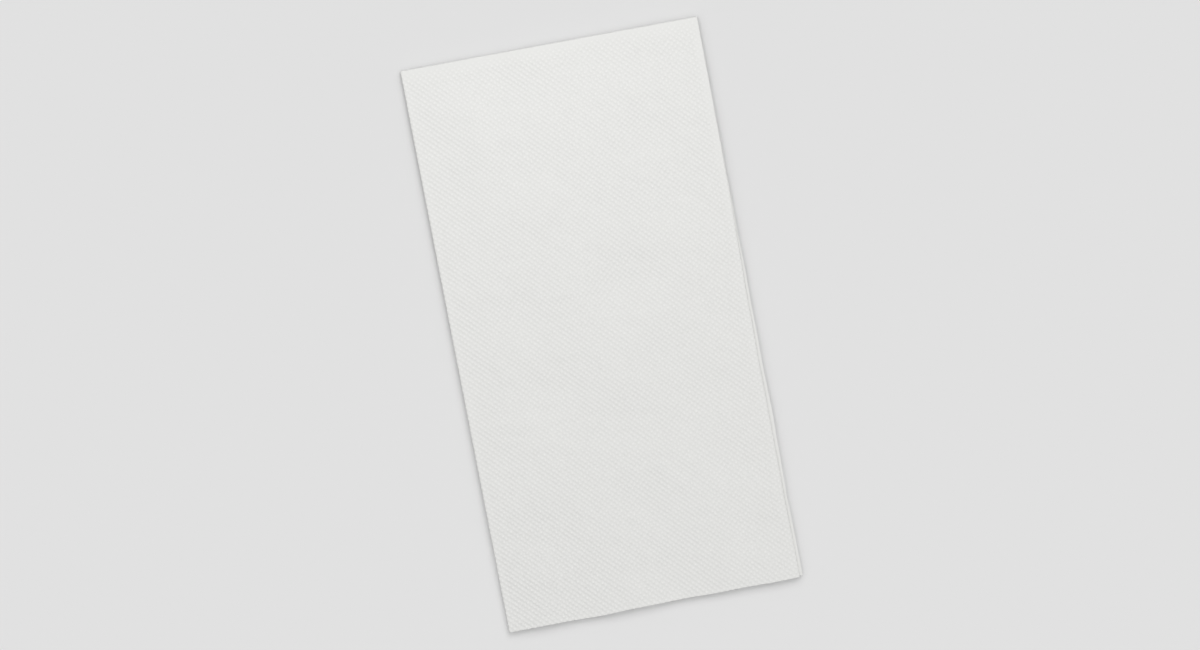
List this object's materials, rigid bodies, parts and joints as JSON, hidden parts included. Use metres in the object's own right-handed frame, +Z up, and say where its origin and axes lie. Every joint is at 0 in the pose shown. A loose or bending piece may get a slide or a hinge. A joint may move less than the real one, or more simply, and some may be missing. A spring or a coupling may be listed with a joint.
{
  "type": "paper napkin",
  "caption": "White embossed paper napkin, one thin square-cut sheet folded lengthwise, folded lengthwise again and folded once across, lying flat.",
  "frame": {"origin": "under the middle of the folded napkin, on the face it lies on", "axes": "+Z up, +Y towards the cross fold, +X towards the first fold and the two long cut edges, -X towards the wrap fold"},
  "size_m": [0.1, 0.19, 0.003],
  "materials": {
    "paper": "matte white embossed two-ply tissue"
  },
  "bodies": {
    "root": {"napkin": "paper"}
  },
  "joints": []
}
